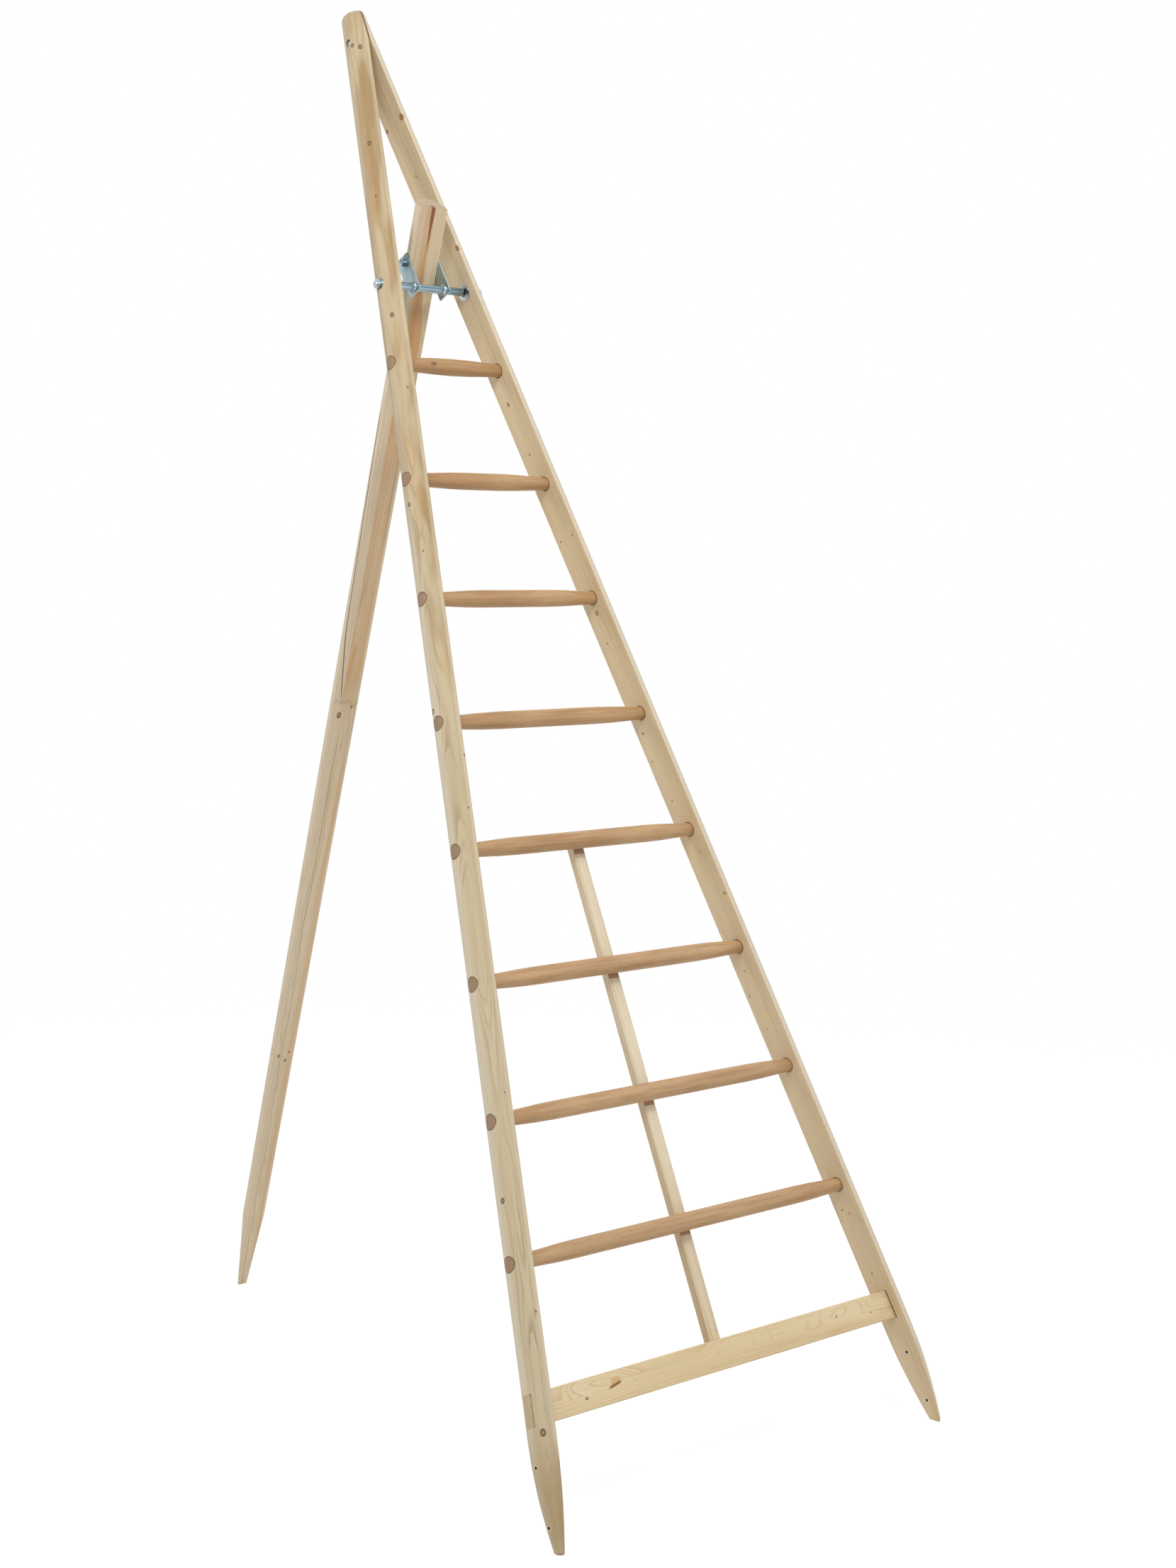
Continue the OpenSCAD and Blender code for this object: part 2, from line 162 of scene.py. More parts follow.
# Materials
class Graph:
    """A material's node tree, with one short call for each kind of node."""

    def __init__(self, name):
        self.material = bpy.data.materials.new(name)
        self.material.use_nodes = True
        self.tree = self.material.node_tree
        self.shader = self.tree.nodes["Principled BSDF"]

    def feed(self, socket, value):
        """Links a socket to another one, or gives it a plain value."""
        if isinstance(value, bpy.types.NodeSocket):
            self.tree.links.new(value, socket)
        else:
            socket.default_value = value

    def node(self, kind, inputs, **settings):
        made = self.tree.nodes.new(kind)
        for key, value in settings.items():
            setattr(made, key, value)
        for key, value in inputs.items():
            self.feed(made.inputs[key], value)
        return made

    def math(self, operation, *values):
        return self.node("ShaderNodeMath", dict(enumerate(values)), operation=operation).outputs[0]

    def product(self, *values):
        """All the values multiplied together."""
        total = values[0]
        for value in values[1:]:
            total = self.math("MULTIPLY", total, value)
        return total

    def off(self, value, middle):
        """How far a value lies from a middle, on either side."""
        return self.math("ABSOLUTE", self.math("SUBTRACT", value, middle))

    def hypot(self, first, second):
        """Length of the slanted side over two sides at right angles."""
        squares = [self.math("POWER", side, 2.0) for side in (first, second)]
        return self.math("SQRT", self.math("ADD", *squares))

    def vector(self, operation, *values):
        made = self.node("ShaderNodeVectorMath", dict(enumerate(values)), operation=operation)
        scalar = operation in ("LENGTH", "DOT_PRODUCT")
        return made.outputs["Value" if scalar else "Vector"]

    def distance(self, place, centre, stretch):
        """Distance from a centre, with each axis multiplied by its own stretch."""
        away = self.vector("SUBTRACT", place, centre)
        return self.vector("LENGTH", self.vector("MULTIPLY", away, stretch))

    def step(self, value, low, high, start=0.0, end=1.0):
        """Smooth ramp from start to end as value goes from low to high."""
        inputs = {"Value": value, "From Min": low, "From Max": high, "To Min": start, "To Max": end}
        return self.node("ShaderNodeMapRange", inputs, interpolation_type="SMOOTHSTEP").outputs[0]

    def band(self, value, middle, half, soft):
        """1 where a value lies within half of the middle, fading out over a soft edge."""
        return self.step(self.off(value, middle), half, half + soft, 1, 0)

    def mix(self, share, first, second):
        inputs = {0: share, 6: first, 7: second}
        return self.node("ShaderNodeMix", inputs, data_type="RGBA").outputs[2]

    def noise(self, place, scale, detail=2.0, roughness=0.5):
        """Noise with its own scale along each axis, in cells a metre."""
        stretched = self.vector("MULTIPLY", place, scale)
        inputs = {"Vector": stretched, "Scale": 1.0, "Detail": detail, "Roughness": roughness}
        return self.node("ShaderNodeTexNoise", inputs).outputs

    def local(self, place):
        """Object coordinates seen from a piece's own frame."""
        inverse = place.inverted()
        inputs = {
            "Vector": self.node("ShaderNodeTexCoord", {}).outputs["Object"],
            "Location": inverse.to_translation(),
            "Rotation": inverse.to_euler(),
        }
        return self.node("ShaderNodeMapping", inputs, vector_type="POINT").outputs[0]

    def split(self, vector):
        return self.node("ShaderNodeSeparateXYZ", {0: vector}).outputs

    def facing(self, axis):
        """How squarely a surface faces along an axis of the object, from 0 to 1."""
        normal = self.node("ShaderNodeTexCoord", {}).outputs["Normal"]
        return self.math("ABSOLUTE", self.vector("DOT_PRODUCT", normal, axis))

    def finish(self, colour, roughness, height, depth, edge):
        """Colour, roughness, and a bump of the given depth over softened edges."""
        self.feed(self.shader.inputs["Base Color"], colour)
        self.feed(self.shader.inputs["Roughness"], roughness)
        soft = self.node("ShaderNodeBevel", {"Radius": edge}, samples=4).outputs[0]
        inputs = {"Strength": 1.0, "Distance": depth, "Height": height, "Normal": soft}
        self.feed(self.shader.inputs["Normal"], self.node("ShaderNodeBump", inputs).outputs[0])
        return self.material


def rgb(red, green, blue):
    """A colour given as screen values from 0 to 255."""
    def linear(value):
        share = value / 255
        return share / 12.92 if share <= 0.04045 else ((share + 0.055) / 1.055) ** 2.4
    return (linear(red), linear(green), linear(blue), 1.0)


# Depths of the bump, and widths of the softened edges, in metres
PINE_BUMP = 0.0002
PINE_EDGE = 0.0014
RUNG_BUMP = 0.0002
RUNG_EDGE = 0.001
ZINC_BUMP = 0.00006
ZINC_EDGE = 0.0006

# Tones that all the pine shares
FLAME_TONE = rgb(196, 156, 106)
SAP_TONE = rgb(216, 206, 186)
STREAK_TONE = rgb(184, 160, 122)
FIBRE_TONE = rgb(180, 155, 118)
SAWN_TONE = rgb(168, 145, 115)
HEART_TONE = rgb(138, 104, 68)

# Kinds of pine; the rings' wander along the log is in metres
Pine = namedtuple("Pine", "pale yellow tan line rim rings_a_metre wander")
GREY_PINE = Pine(
    pale=rgb(197, 183, 152), yellow=rgb(190, 174, 140), tan=rgb(154, 125, 80),
    line=rgb(140, 116, 76), rim=rgb(72, 50, 30), rings_a_metre=650.0, wander=0.03)
WARM_PINE = Pine(
    pale=rgb(220, 202, 169), yellow=rgb(211, 190, 153), tan=rgb(204, 176, 134),
    line=rgb(198, 168, 126), rim=rgb(150, 100, 58), rings_a_metre=120.0, wander=0.03)
POLE_PINE = Pine(
    pale=rgb(220, 204, 174), yellow=rgb(212, 193, 160), tan=rgb(200, 157, 110),
    line=rgb(152, 124, 84), rim=rgb(118, 78, 46), rings_a_metre=180.0, wander=0.10)
RAIL_PINE = Pine(
    pale=rgb(228, 208, 168), yellow=rgb(220, 198, 154), tan=rgb(206, 178, 132),
    line=rgb(196, 164, 116), rim=rgb(124, 82, 46), rings_a_metre=170.0, wander=0.03)
POST_PINE = Pine(
    pale=rgb(230, 217, 190), yellow=rgb(222, 205, 172), tan=rgb(184, 158, 122),
    line=rgb(186, 162, 124), rim=rgb(124, 82, 46), rings_a_metre=300.0, wander=0.03)

# Knots, and still more the rings around them, are drawn out along the grain
KNOT_STRETCH = (1.0, 1.0, 0.75)
BEND_STRETCH = (1.0, 1.0, 0.22)
SWIRL_STRETCH = (1.0, 1.0, 0.3)


def knot_fields(graph, here, knots, swirls):
    """Masks of the knots' hearts and rims, and how far knots and swirls push the rings around them."""
    hearts, rims, bend = 0.0, 0.0, 0.0
    for *centre, size in knots:
        far = graph.distance(here, centre, KNOT_STRETCH)
        hearts = graph.math("MAXIMUM", hearts, graph.step(far, size * 0.7, size * 0.9, 1, 0))
        off = graph.off(far, size * 0.8)
        rims = graph.math("MAXIMUM", rims, graph.step(off, size * 0.12, size * 0.4, 1, 0))
        reach = graph.distance(here, centre, BEND_STRETCH)
        bend = graph.math("ADD", bend, graph.step(reach, size * 0.5, size * 4.0, 0.6, 0))
    for *centre, size, count in swirls:
        reach = graph.distance(here, centre, SWIRL_STRETCH)
        bend = graph.math("ADD", bend, graph.step(reach, 0, size, count, 0))
    return hearts, rims, bend


def ring_lines(graph, here, kind, pith, bend):
    """How strongly the lines of late wood show, and the slow noise by which they come and go."""
    # Rings wander along the log, so that a sawn or turned face shows long wavering arches
    drift = graph.noise(here, (6.0, 6.0, 1.1))["Color"]
    waver = graph.noise(here, (40.0, 40.0, 11.0))["Color"]
    ripple = 0.5 / kind.rings_a_metre
    centre = (pith[0] + kind.wander / 2, pith[1] + kind.wander / 2, 0.0)
    moved = graph.vector("SUBTRACT", here, centre)
    moved = graph.vector("MULTIPLY_ADD", drift, (kind.wander, kind.wander, 0.0), moved)
    moved = graph.vector("MULTIPLY_ADD", waver, (ripple, ripple, 0.0), moved)
    radius = graph.vector("LENGTH", graph.vector("MULTIPLY", moved, (1.0, 1.0, 0.0)))
    # Some years are wide and some are narrow
    year = graph.math("MULTIPLY_ADD", radius, kind.rings_a_metre, bend)
    swing = graph.math("SINE", graph.product(year, 2.3))
    rings = graph.math("FRACT", graph.math("MULTIPLY_ADD", swing, 0.35, year))
    late = graph.product(graph.step(rings, 0.5, 0.92), graph.step(rings, 0.95, 1.0, 1, 0))
    # The lines come and go along the grain, between thin broken veins
    shown = graph.noise(here, (45.0, 45.0, 1.8))["Fac"]
    vein = graph.noise(here, (420.0, 420.0, 10.0))["Fac"]
    late = graph.product(late, graph.step(shown, 0.36, 0.62, 0.15, 1.0))
    late = graph.math("MAXIMUM", late, graph.step(vein, 0.58, 0.72, 0, 0.7))
    return late, shown


def pine(name, place, pith, kind, tan, sap=None, knots=(), swirls=(), marks=()):
    """Pine with rings round a pith.

    tan gives the share of darker wood, with painted light and shade on some pieces, and sap the shares of pale and
    of plain wood.
    """
    graph = Graph(name)
    here = graph.local(place)
    hearts, rims, bend = knot_fields(graph, here, knots, swirls)
    late, shown = ring_lines(graph, here, kind, pith, bend)
    fibre = graph.noise(here, (900.0, 900.0, 14.0), detail=3.0, roughness=0.6)["Fac"]
    streak = graph.noise(here, (150.0, 150.0, 1.5))["Fac"]
    patch = graph.noise(here, (8.0, 8.0, 1.6))["Fac"]
    flame = graph.noise(here, (22.0, 22.0, 2.6))["Fac"]

    colour = graph.mix(graph.step(patch, 0.3, 0.7), kind.pale, kind.yellow)
    mottled = graph.product(tan(graph, here), graph.step(shown, 0.3, 0.7, 1.15, 0.65))
    colour = graph.mix(mottled, colour, kind.tan)
    colour = graph.mix(graph.step(flame, 0.57, 0.72, 0, 0.35), colour, FLAME_TONE)
    if sap:
        pale_share, plain_share = sap(graph, here)
        colour = graph.mix(graph.product(pale_share, 0.75), colour, SAP_TONE)
        late = graph.product(late, graph.math("MULTIPLY_ADD", plain_share, -0.85, 1.0))
    colour = graph.mix(graph.product(late, 0.6), colour, kind.line)
    colour = graph.mix(graph.step(streak, 0.5, 0.75, 0, 0.28), colour, STREAK_TONE)
    colour = graph.mix(graph.step(fibre, 0.35, 0.75, 0, 0.22), colour, FIBRE_TONE)

    # Saw cuts across the grain drink in dirt
    axis = place.to_3x3() @ Vector((0, 0, 1))
    cut = graph.step(graph.facing(axis), 0.4, 0.75)
    colour = graph.mix(graph.product(cut, 0.7), colour, SAWN_TONE)
    for mark in marks:
        mask, tone = mark(graph, here)
        colour = graph.mix(mask, colour, tone)
    colour = graph.mix(graph.product(hearts, 0.75), colour, HEART_TONE)
    colour = graph.mix(graph.product(rims, 0.85), colour, kind.rim)
    height = graph.math("MULTIPLY_ADD", fibre, 0.5, graph.product(late, 0.5))
    rough = graph.step(late, 0, 1, 0.62, 0.5)
    return graph.finish(colour, rough, height, PINE_BUMP, PINE_EDGE)


# Shares of tan and sapwood, with painted light and shade in some of them; along a piece, ramps run between lengths
# in metres in its own frame
def left_tan(graph, here):
    """The left stile is darker towards its top, in uneven patches, and a little towards its foot."""
    up = graph.split(here)["Z"]
    patches = graph.noise(here, (26.0, 26.0, 5.0))["Fac"]
    top = graph.product(graph.step(up, 1.2, 2.4, 0.05, 0.95), graph.step(patches, 0.38, 0.62, 0.25, 1.25))
    return graph.math("ADD", top, graph.step(up, 0.05, 0.3, 0.7, 0))


def left_sap(graph, here):
    """Sapwood on the outer and rear part of the left stile's round; its foot is plain too."""
    _, rear, up = graph.split(here)
    length = graph.product(graph.step(up, 1.9, 2.5, 1, 0.4), graph.step(up, 0.1, 0.35, 0.3, 1))
    outer = graph.product(graph.step(rear, -0.018, 0.004), length)
    return outer, graph.math("MAXIMUM", outer, graph.step(up, 0.05, 0.11, 1, 0))


def right_tan_with_painted_light_and_shade(graph, here):
    """The right stile's flat is darker towards the front; near the top it is paler, as painted light, and at the
    very top darker, as painted shade.
    """
    across, rear, up = graph.split(here)
    front = graph.product(graph.step(rear, 0.03, -0.03, 0.15, 0.5), graph.step(across, 0.002, 0.012, 1, 0))
    # Painted light: paler from 2.0 to 2.9 m up; painted shade: darker at the very top.
    front_and_painted_light = graph.math("SUBTRACT", front, graph.step(up, 2.0, 2.9, 0, 0.8))
    return graph.math("ADD", front_and_painted_light, graph.step(up, 3.25, 3.36, 0, 0.7))


def right_sap(graph, here):
    """Sapwood on the round of the right stile."""
    share = graph.step(graph.split(here)["X"], 0.001, 0.006)
    return share, share


def rail_tan(graph, here):
    """The rail is a little darker along its lower edge."""
    return graph.step(graph.split(here)["X"], -0.01, 0.02, 0, 0.25)


def post_tan_and_painted_shade(graph, here):
    """The post is pale at its top and tan at its foot, and darker on its sides as painted shade."""
    tan = graph.step(graph.split(here)["Z"], 0.3, 1.25, 0.25, -0.35)
    # Painted shade on the faces that look across the ladder.
    side = graph.step(graph.facing((1, 0, 0)), 0.5, 0.9, 0, 0.75)
    return graph.math("ADD", tan, side)


def pole_tan(graph, here):
    """Heartwood on the pole's flat face, above its ring of knots; near the top it lies left of the split."""
    across, rear, up = graph.split(here)
    centre = graph.step(up, 2.45, 2.6, 0.008, -0.014)
    middle = graph.step(graph.off(across, centre), 0.017, 0.024, 1, 0)
    front = graph.step(rear, 0.004, 0.018, 1, 0)
    above = graph.step(up, 1.5, 1.66)
    patches = graph.noise(here, (28.0, 28.0, 3.5), detail=3.0)["Fac"]
    patchy = graph.step(patches, 0.35, 0.65, 0.4, 1.1)
    share = graph.math("ADD", patchy, graph.step(up, 2.1, 2.4, 0, 0.35))
    return graph.math("MULTIPLY_ADD", graph.product(middle, front, above, share), 0.9, 0.1)


def pole_sap(graph, here):
    """Sapwood on the round of the pole and along the left of its flat face."""
    across, rear, up = graph.split(here)
    on_flat = graph.step(across, -0.022, -0.008, 0.6, 0)
    share = graph.math("MAXIMUM", graph.step(rear, 0.003, 0.014), on_flat)
    return share, graph.product(share, graph.step(up, 1.3, 1.6, 0.5, 1))


# Marks, each a mask and a tone, some of them painted shade or highlight; joints lie in the slope's frame, other
# marks in the piece's own
def mortise_painted_shade(graph, here):
    """Painted shade: dark band over the slot of the mortise ahead of the rail's tenon."""
    _, rear, up = graph.split(graph.local(SLOPE))
    ahead = graph.band(rear, -RAIL_FRONT - MORTISE_SLACK / 2, MORTISE_SLACK / 2, 0.0016)
    level = graph.band(up, RAIL_CENTRE, RAIL_HEIGHT / 2, 0.0006)
    return graph.product(ahead, level, 0.95), rgb(44, 30, 20)


def rung_steps(graph, up):
    """Slope height counted in rungs from the lowest one."""
    return graph.math("DIVIDE", graph.math("SUBTRACT", up, FIRST_RUNG), RUNG_SPACING)


def tenon_joints(graph, here):
    """Thin dark joints round the rungs' tenons."""
    _, rear, up = graph.split(graph.local(SLOPE))
    steps = rung_steps(graph, up)
    nearest = graph.math("MAXIMUM", graph.math("ROUND", steps), 0.0)
    nearest = graph.math("MINIMUM", nearest, RUNG_COUNT - 1.0)
    rise = graph.product(graph.math("SUBTRACT", steps, nearest), RUNG_SPACING)
    off = graph.off(graph.hypot(rise, rear), TENON_R + 0.0008)
    return graph.step(off, 0.0008, 0.0020, 0.85, 0), rgb(92, 66, 44)


def mitre_seam(graph, here):
    """Dark line where the tops of the stiles meet."""
    across, _, up = graph.split(graph.local(SLOPE))
    near = graph.step(graph.math("ABSOLUTE", across), 0.0018, 0.0038, 0.9, 0)
    high = graph.step(up, MEET_HEIGHT - 0.02, MEET_HEIGHT)
    return graph.product(near, high), rgb(104, 76, 48)


def stile_arris_highlight(graph, here):
    """Painted highlight: pale line along the edges between flat and round."""
    side = graph.math("ABSOLUTE", graph.split(here)["Y"])
    return graph.step(side, STILE_R - 0.0016, STILE_R - 0.0004, 0, 0.4), rgb(224, 208, 178)


def foot_hole_distance(graph, here):
    """How far a point of a stile lies from the axis of the nearer of its two foot holes."""
    _, rear, up = graph.split(here)
    rise = graph.math("MINIMUM", *[graph.off(up, height) for height in FOOT_HOLES])
    return graph.hypot(rise, rear)


def foot_hole_rims(graph, here):
    """Pale broken edge round the foot holes."""
    return graph.step(foot_hole_distance(graph, here), 0.0042, 0.0056, 0.6, 0), rgb(232, 216, 186)


def foot_hole_painted_shade(graph, here):
    """Painted shade: the walls of the foot holes made dark."""
    return graph.step(foot_hole_distance(graph, here), 0.0031, 0.0035, 0.95, 0), rgb(44, 32, 22)


def pole_half(graph, up):
    """Half the width of the pole's flat face at a height along it."""
    inputs = {
        "Value": up, "From Min": POLE_TAPER, "From Max": POLE_TOP, "To Min": POLE_LOW_R, "To Max": POLE_TOP_R}
    return graph.node("ShaderNodeMapRange", inputs).outputs[0]


def pole_arris_highlight(graph, here):
    """Painted highlight: pale line along the edges of the pole's flat face."""
    across, rear, up = graph.split(here)
    short = graph.math("SUBTRACT", pole_half(graph, up), graph.math("ABSOLUTE", across))
    line = graph.product(graph.step(short, 0.001, 0.003, 1, 0), graph.step(rear, 0.001, 0.003, 0.6, 0))
    return line, rgb(226, 206, 172)


def pole_split(graph, here):
    """Dark wedge down from the pole's sawn top, along its pith."""
    across, rear, up = graph.split(here)
    wobble = graph.noise(here, (0.0, 0.0, 26.0))["Fac"]
    middle = graph.math("MULTIPLY_ADD", wobble, 0.006, graph.math("SUBTRACT", across, 0.0045))
    half = graph.step(up, 2.620, 2.750, 0.0, 0.0058)
    inside = graph.math("SUBTRACT", half, graph.math("ABSOLUTE", middle))
    front = graph.step(rear, 0.006, 0.014, 0.9, 0)
    return graph.product(graph.step(inside, -0.0002, 0.001), front), rgb(122, 60, 30)


def pole_stain(graph, here):
    """Reddish stain along the pith below the split."""
    across, rear, up = graph.split(here)
    side = graph.band(across, 0.002, 0.001, 0.011)
    length = graph.band(up, 2.44, 0.10, 0.16)
    front = graph.step(rear, 0.002, 0.008, 0.35, 0)
    return graph.product(side, length, front), rgb(176, 118, 76)


def pole_vein(graph, here):
    """Long grey-brown line that wanders down the pole below its ring of knots."""
    across, rear, up = graph.split(here)
    wander = graph.noise(here, (0.0, 0.0, 3.5), detail=4.0)["Fac"]
    line = graph.band(graph.math("MULTIPLY_ADD", wander, 0.034, across), 0.012, 0.0003, 0.0014)
    below = graph.product(graph.step(up, 1.46, 1.51, 0.6, 0), graph.step(rear, 0.002, 0.006, 1, 0))
    return graph.product(line, below), rgb(138, 122, 88)


def pole_collar(graph, here):
    """Uneven fold of the grain across the pole, just above its ring of knots."""
    _, rear, up = graph.split(here)
    wobble = graph.noise(here, (60.0, 60.0, 0.0))["Fac"]
    folded = graph.math("MULTIPLY_ADD", wobble, 0.07, up)
    line = graph.band(folded, 1.607, 0.0006, 0.007)
    return graph.product(line, 0.3, graph.step(rear, 0.004, 0.012, 1, 0)), rgb(146, 124, 88)


def pole_warmth(graph, here):
    """Orange streak down the right of the pole, below its ring of knots."""
    across, _, up = graph.split(here)
    short = graph.math("SUBTRACT", pole_half(graph, up), across)
    edge = graph.product(graph.band(short, 0.011, 0.001, 0.007), graph.step(up, 1.3, 1.5, 0.5, 0))
    return edge, rgb(206, 160, 116)


def pole_check(graph, here):
    """Long thin drying crack, from the round of the pole down over its left edge on to its flat face."""
    across, rear, up = graph.split(here)
    wobble = graph.noise(here, (0.0, 0.0, 9.0), detail=3.0)["Fac"]
    above = graph.math("SUBTRACT", up, 1.75)
    slopes = [graph.product(above, slope) for slope in (0.024, 0.12)]
    on_round = graph.math("SMOOTH_MIN", *slopes, 0.006)
    on_flat = graph.math("SUBTRACT", graph.math("ADD", across, pole_half(graph, up)), rear)
    line = graph.math("MULTIPLY_ADD", wobble, 0.003, graph.math("ADD", on_round, on_flat))
    thin = graph.step(graph.off(line, 0.0015), 0.0007, 0.002, 0.95, 0)
    left = graph.product(graph.step(across, -0.014, -0.008, 1, 0), graph.step(rear, 0.018, 0.022, 1, 0))
    length = graph.band(up, 1.93, 0.32, 0.05)
    return graph.product(thin, left, length), rgb(92, 64, 40)


def rail_knot(graph, here):
    """Long orange knot on the front of the rail."""
    far = graph.distance(here, (-0.010, -0.06, -0.318), (1.7, 1.0, 1.0))
    return graph.step(far, 0.010, 0.018, 0.6, 0), rgb(200, 152, 92)


def rail_resin(graph, here):
    """Brown resin line below the rail's long knot."""
    across, rear, along = graph.split(graph.vector("SUBTRACT", here, (-0.003, -0.06, -0.322)))
    slanted = graph.math("MULTIPLY_ADD", along, 0.2, across)
    line = graph.product(graph.band(slanted, 0.0, 0.0016, 0.002), graph.band(along, 0.0, 0.010, 0.012))
    return graph.product(line, graph.step(rear, 0.002, 0.006, 0.95, 0)), rgb(132, 74, 30)


def painted_rung_shadows(graph, here):
    """Painted shadow: brown strip on the front of the post, close under each rung, where the rung shades it."""
    _, rear, up = graph.split(here)
    steps = rung_steps(graph, up)
    above = graph.math("MINIMUM", graph.math("CEIL", steps), POST_RUNGS - 1.0)
    below = graph.product(graph.math("SUBTRACT", above, steps), RUNG_SPACING)
    strip = graph.band(below, 0.013, 0.0125, 0.0015)
    return graph.product(strip, graph.step(rear, 0.0195, 0.0205, 0.85, 0)), rgb(156, 108, 66)


def hardwood(name):
    """Turned rungs of brown, open-pored wood, each cut from its own part of the tree."""
    graph = Graph(name)
    here = graph.local(SLOPE)
    # Short pores and long streaks run along the rung
    pores = graph.noise(here, (45.0, 1100.0, 1100.0), roughness=0.65)["Fac"]
    streak = graph.noise(here, (4.0, 150.0, 150.0), detail=3.0)["Fac"]
    tone = graph.noise(here, (2.5, 3.0, 3.6))["Fac"]
    bands = graph.noise(here, (7.0, 60.0, 60.0))["Fac"]
    low = graph.step(graph.split(here)["Z"], 0.5, 2.2, 0.3, 0)
    colour = graph.mix(graph.step(tone, 0.35, 0.65), rgb(194, 156, 111), rgb(176, 136, 92))
    colour = graph.mix(low, colour, rgb(202, 174, 136))
    colour = graph.mix(graph.step(bands, 0.45, 0.65, 0, 0.5), colour, rgb(164, 120, 72))
    colour = graph.mix(graph.step(streak, 0.5, 0.72, 0, 0.4), colour, rgb(150, 110, 70))
    colour = graph.mix(graph.step(pores, 0.56, 0.7, 0, 0.4), colour, rgb(124, 87, 54))
    cut = graph.step(graph.facing((1, 0, 0)), 0.75, 0.95)
    colour = graph.mix(graph.product(cut, 0.9), colour, rgb(140, 112, 87))
    far = graph.distance(here, RUNG_KNOT, (0.6, 1.0, 1.0))
    colour = graph.mix(graph.step(far, 0.002, 0.007, 0.75, 0), colour, rgb(98, 62, 40))
    height = graph.math("MULTIPLY_ADD", pores, -0.6, streak)
    rough = graph.step(streak, 0.3, 0.7, 0.5, 0.62)
    return graph.finish(colour, rough, height, RUNG_BUMP, RUNG_EDGE)


def zinc(name, light, dark, scale, dirt_and_shade=None):
    """Bluish zinc plate in light and dark bands, with fine drawing lines; dirt and painted shade darken part of a
    piece.
    """
    graph = Graph(name)
    here = graph.node("ShaderNodeTexCoord", {}).outputs["Object"]
    bands = graph.noise(here, scale, detail=3.0)["Fac"]
    grain = graph.noise(here, (60.0, 900.0, 900.0))["Fac"]
    colour = graph.mix(graph.step(bands, 0.35, 0.65), light, dark)
    colour = graph.mix(graph.step(grain, 0.4, 0.75, 0, 0.3), colour, dark)
    # Dirt and painted shade darken the part that the mask picks out.
    if dirt_and_shade:
        colour = graph.mix(dirt_and_shade(graph, here), colour, rgb(58, 60, 58))
    rough = graph.step(bands, 0.3, 0.75, 0.24, 0.4)
    graph.feed(graph.shader.inputs["Metallic"], 1.0)
    return graph.finish(colour, rough, grain, ZINC_BUMP, ZINC_EDGE)


def oil_and_shade_between_stiles(graph, here):
    """Oily thread on the part of the rod between the stiles, darkened further as painted shade."""
    return graph.band(graph.split(here)["X"], 0.0, half_gap(HINGE_HEIGHT), 0.002)


# Knots: place in the piece's own frame and radius; swirls also say how many rings they push aside
LEFT_KNOTS = [
    (-0.0333, -0.0108, 3.4447, 0.003),
    (-0.0326, -0.0128, 3.3534, 0.004),
    (-0.0220, -0.0272, 3.3440, 0.0045),
    (-0.0277, -0.0214, 3.0878, 0.0045),
    (-0.0285, -0.0203, 2.9508, 0.0022),
    (-0.0278, -0.0212, 2.6462, 0.0045),
    (-0.0182, -0.0299, 2.4643, 0.0022),
    (-0.0349, -0.0022, 2.1889, 0.004),
    (-0.0280, -0.0210, 2.0727, 0.002),
    (-0.0336, 0.0099, 1.7134, 0.005),
    (-0.0021, -0.0349, 1.6036, 0.002),
    (-0.0087, -0.0339, 1.4873, 0.002),
    (-0.0129, -0.0325, 0.8848, 0.0015),
    (-0.0342, -0.0074, 0.6724, 0.0045),
    (-0.0093, -0.0337, 0.4503, 0.002),
    (-0.0245, -0.0250, 0.2223, 0.0055),
]
LEFT_SWIRLS = [
    (-0.022, -0.026, 0.165, 0.022, 2.5),
    (-0.030, -0.018, 0.715, 0.026, 2.5),
]
RIGHT_KNOTS = [
    (0.0, 0.0296, 3.1667, 0.004),
    (0.0, -0.0299, 3.1708, 0.006),
    (0.0, -0.0009, 3.0346, 0.0025),
    (0.0, -0.0325, 2.8342, 0.005),
    (0.0, 0.0082, 2.4593, 0.004),
    (0.0, 0.0075, 2.3324, 0.0024),
    (0.0, 0.0225, 2.1210, 0.002),
    (0.0, -0.0186, 2.1206, 0.002),
    (0.0, 0.0036, 1.9368, 0.0045),
    (0.0, 0.0096, 1.8638, 0.002),
    (0.0, 0.0157, 1.6445, 0.003),
    (0.0, 0.0232, 1.5777, 0.002),
    (0.0, 0.0130, 1.4786, 0.002),
    (0.0, -0.0050, 1.3482, 0.0016),
    (0.0, -0.0265, 1.2416, 0.003),
    (0.0, 0.0093, 1.0650, 0.002),
    (0.0, 0.0255, 1.0084, 0.002),
    (0.0, 0.0138, 0.9267, 0.0016),
    (0.0, 0.0147, 0.4966, 0.0024),
    (0.0, -0.0010, 0.4847, 0.002),
    (0.0, 0.0051, 0.3459, 0.002),
]
POLE_KNOTS = [
    (-0.0136, 0.0, 1.5403, 0.006),
    (0.020, 0.0, 1.560, 0.003),
    (-0.032, 0.004, 1.570, 0.0025),
    (-0.026, 0.012, 0.648, 0.0035),
    (-0.0133, 0.0, 0.6444, 0.0035),
    (0.0090, 0.0, 0.6300, 0.0035),
    (0.0175, 0.0, 0.6520, 0.0025),
]
RAIL_KNOTS = [
    (0.007, -0.06, -0.402, 0.003),
    (-0.007, -0.06, 0.336, 0.0022),
    (0.005, -0.06, 0.443, 0.0018),
]
